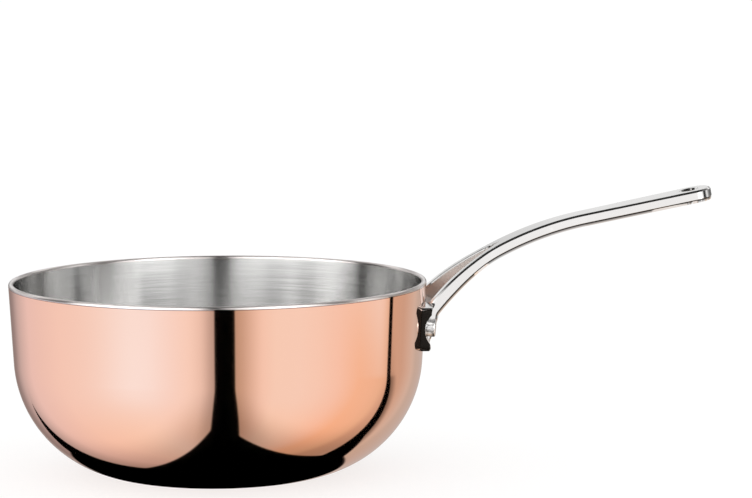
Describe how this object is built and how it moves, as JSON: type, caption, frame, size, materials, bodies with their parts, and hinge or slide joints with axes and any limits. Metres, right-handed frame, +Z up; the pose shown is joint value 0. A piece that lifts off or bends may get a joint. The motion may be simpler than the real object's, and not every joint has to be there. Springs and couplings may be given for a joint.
{
  "type": "saucier pan",
  "caption": "Round-bottomed clad saucier pan with a copper outside, a steel lining with a rounded lip, and a forked cast steel handle riveted to the wall.",
  "frame": {"origin": "middle of the base's flat underside, on the bowl's axis", "axes": "+X along the handle from the bowl's axis, +Z up out of the bowl's mouth, +Y to the left of the handle seen from above"},
  "size_m": [0.3521, 0.2048, 0.1362],
  "materials": {
    "copper": "polished",
    "aluminium": "plain",
    "steel": "brushed inside, polished lip",
    "cast_steel": "polished",
    "rivet_steel": "polished"
  },
  "bodies": {
    "root": {"copper_shell": "copper", "aluminium_core": "aluminium", "steel_liner": "steel", "handle": "cast_steel", "rivet_left": "rivet_steel", "rivet_right": "rivet_steel"}
  },
  "joints": []
}
